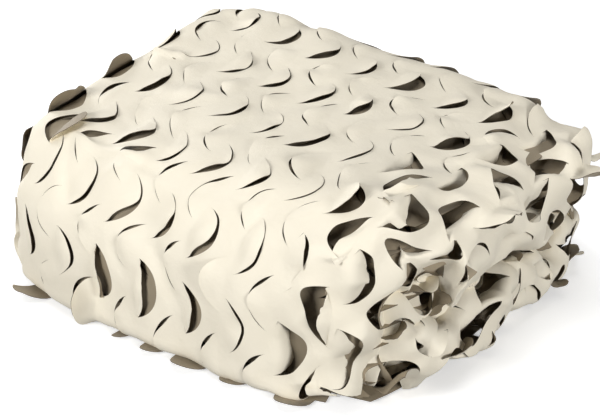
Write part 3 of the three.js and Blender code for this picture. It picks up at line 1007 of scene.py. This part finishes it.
slit_draw = chance.uniform(*SLIT, (leaves, 1)) * np.where(right_leaf[:, None], RIGHT_SLIT, LEFT_SLIT)
shares = DRAW_SHARES[np.where(left_leaf, 2, np.where(row <= 0, 0, 1))]
outer_draws = shares[:, :, :1] * wide_draw[:, None] + shares[:, :, 1:] * slit_draw[:, None]
outer_draws = outer_draws.reshape(leaves, -1)

# How each leaf of this ply turns
LEFT_TURN_SHARE = 0.4
CURLED_SHARE = 0.16
CURL = (15.0, 50.0)
OPENING_TURN = np.radians(1.5)
FALL = (50.0, 125.0)
STAND = (40.0, 130.0)
FALLEN_SHARE = 0.7
FREE_LEAFINESS = 0.6
LEAFY_HINGE = -0.7
OVER_EDGE_COLUMN, LEFTMOST_COLUMN = -2, -3
OVER_EDGE_TURN = math.radians(-45.0)
outer_turns = leaf_turns(leaves, low=-2.0, high=6.0, spread=3.0)
outer_turns[left_leaf, ENDS] *= LEFT_TURN_SHARE
curled = (chance.uniform(0.0, 1.0, (leaves, 2)) < CURLED_SHARE) & ((row > 1) & uncharted)[:, None]
outer_turns[:, ENDS] += curled * np.radians(chance.uniform(*CURL, (leaves, 2)))
outer_turns[:, TAIL] += OPENING_TURN * opening * right_leaf
leafy = leafiness(FIRST_CUT_ALONG + CUT_PITCH * column, FIRST_CUT_TRAVEL + ROW_PITCH * row)[:, None]
fate = chance.uniform(0.0, 1.0, (leaves, 1))
fallen = np.radians(-chance.uniform(*FALL, (leaves, 1)))
standing = np.radians(chance.uniform(*STAND, (leaves, 1)))
loose = np.sqrt(leafy)
outer_turns[:, ENDS] += np.select([fate < FALLEN_SHARE * loose, fate < loose], [fallen, standing], 0.0)
outer_turns[:, FREE] = leafy[:, 0] > FREE_LEAFINESS
outer_turns[:, LATE] += (LEAFY_HINGE - outer_turns[:, LATE]) * loose[:, 0]
outer_draws *= 1.0 + leafy
outer_turns[(column == OVER_EDGE_COLUMN) & left_leaf, ENDS] = OVER_EDGE_TURN
outer_turns[column == LEFTMOST_COLUMN] = 0.0
outer_draws[column == LEFTMOST_COLUMN] = 0.0
SPECIAL_LEAVES = [
    # columns, row, kind, turn at the top and at the tail in degrees, late growth, draw along and up
    ([-2], 3, 0, 28.0, 28.0, -0.5, 0.0, 0.0),
    ([-2], 2, 0, 40.0, 40.0, -0.7, 0.0, 0.0),
    ([-2], 1, 0, -45.0, -45.0, 0.5, 0.0, 0.0),
    ([-2], 0, 0, 75.0, 75.0, -0.5, 0.0, 0.0),
    ([-2], 2, 1, 185.0, 175.0, -0.9, 0.0, 0.0),
    ([0], 0, 1, 110.0, 90.0, -0.4, 0.0, 0.0),
    ([2, 3], 5, 0, 25.0, 40.0, 0.6, -3.0, 4.0),
    ([2], 5, 1, 30.0, 30.0, 0.6, 4.0, 0.0),
    ([0], 5, 0, 35.0, 20.0, 0.6, -2.0, 3.0),
    ([0], 6, 0, 20.0, 30.0, 0.6, 0.0, 0.0),
    ([2, 3, 4, 5], 6, 0, 15.0, 25.0, 0.6, 0.0, 0.0),
    ([3], 1, 1, 80.0, 75.0, 2.5, 0.0, 0.0),
    ([5], 1, 0, 4.0, 4.0, 0.5, -5.0, -2.0),
    ([5], 1, 1, 25.0, 20.0, 0.3, 11.0, -3.0),
    ([5], 0, 1, 25.0, 30.0, 0.3, 11.0, 0.0),
    ([5], 2, 1, 10.0, 10.0, 0.5, 10.0, -16.0),
    ([5], 3, 1, 5.0, 5.0, 0.5, 10.0, -14.0),
    ([6], 1, 0, -80.0, -60.0, -0.5, 0.0, 0.0),
    ([6], 0, 0, -70.0, -50.0, -0.5, 0.0, 0.0),
    ([6], 1, 1, 120.0, 60.0, 0.8, 0.0, 0.0),
    ([6], 6, 1, -60.0, -40.0, 0.0, 0.0, 0.0),
    ([7], 3, 1, -70.0, -60.0, -0.5, 0.0, 0.0),
]
for columns, r, k, top, tail, growth, draw_along, draw_up in SPECIAL_LEAVES:
    chosen = np.isin(column, columns) & (row == r) & (kind == k)
    outer_turns[chosen, :FLUTTER] = [math.radians(top), math.radians(tail), growth, 1.0]
    outer_draws[chosen] = [draw_along, draw_up] * 3
outer_surface = wrap_of(0.0, OUTER_LEFT, over_end(0.0), OUTER_BACK, 0.0)
outer_places = lay_net(outer_net, outer_surface, outer_turns, outer_draws)
thick_sheet(
    "outer_ply", outer_places, outer_net["triangles"], outer_net["flat"], CREAM, TAUPE,
    outer_high - outer_low,
)

# Floor, light and camera
# A wide pale floor and soft light from four softboxes: in front, at the two sides and above. The camera
# stands at the photo's angle.
FLOOR_HALF = 6.0
floor_corners = FLOOR_HALF * np.array([(-1, -1, 0), (1, -1, 0), (1, 1, 0), (-1, 1, 0)])
floor_mesh = bpy.data.meshes.new("floor")
floor_mesh.from_pydata(floor_corners.tolist(), [], [(0, 1, 2, 3)])
floor = bpy.data.objects.new("floor", floor_mesh)
bpy.context.scene.collection.objects.link(floor)
floor_paint = bpy.data.materials.new("pale_floor")
floor_paint.use_nodes = True
floor_shader = floor_paint.node_tree.nodes["Principled BSDF"]
floor_shader.inputs["Base Color"].default_value = (0.95, 0.95, 0.95, 1.0)
floor_shader.inputs["Roughness"].default_value = 0.9
floor_shader.inputs["Emission Color"].default_value = (1.0, 1.0, 1.0, 1.0)
floor_shader.inputs["Emission Strength"].default_value = 0.4
floor_mesh.materials.append(floor_paint)
floor.visible_diffuse = False

world = bpy.data.worlds.new("studio")
world.use_nodes = True
world_light = world.node_tree.nodes["Background"]
world_light.inputs["Color"].default_value = (1.0, 1.0, 1.0, 1.0)
world_light.inputs["Strength"].default_value = 0.06
bpy.context.scene.world = world
bpy.context.scene.view_settings.view_transform = "Standard"

LIGHT_TARGET = Vector((0.0, 0.0, 0.06))
LIGHTS = [
    # name, place and size in metres, power
    ("front_softbox", (-0.7, -2.1, 0.9), 0.9, 43.0),
    ("right_softbox", (2.2, -0.7, 0.6), 0.6, 35.0),
    ("left_softbox", (-2.0, 0.6, 0.8), 0.8, 19.0),
    ("top_softbox", (0.0, 0.3, 1.9), 1.2, 16.5),
]
for name, place, size, power in LIGHTS:
    light = bpy.data.lights.new(name, "AREA")
    light.shape = "SQUARE"
    light.size = size
    light.energy = power
    lamp = bpy.data.objects.new(name, light)
    lamp.location = place
    lamp.rotation_euler = (LIGHT_TARGET - Vector(place)).to_track_quat("-Z", "Y").to_euler()
    bpy.context.scene.collection.objects.link(lamp)

IMAGE_WIDTH = 600.0
FOCAL_PIXELS = 1515.0
AZIMUTH = math.radians(36.0)
ELEVATION = math.radians(27.0)
DISTANCE = 1400.0
AIM_RIGHT, AIM_UP = 0.3, 46.0
right = Vector((math.cos(AZIMUTH), math.sin(AZIMUTH), 0.0))
back = Vector((
    math.sin(AZIMUTH) * math.cos(ELEVATION),
    -math.cos(AZIMUTH) * math.cos(ELEVATION),
    math.sin(ELEVATION),
))
up = back.cross(right)
lens = bpy.data.cameras.new("camera")
lens.sensor_width = 36.0
lens.lens = lens.sensor_width * FOCAL_PIXELS / IMAGE_WIDTH
camera = bpy.data.objects.new("camera", lens)
camera_place = (back * DISTANCE + right * AIM_RIGHT + up * AIM_UP + Vector((PACK_X, 0.0, 0.0))) * MM
turned = Matrix((right, up, back)).transposed().to_4x4()
camera.matrix_world = Matrix.Translation(camera_place) @ turned
bpy.context.scene.collection.objects.link(camera)
bpy.context.scene.camera = camera
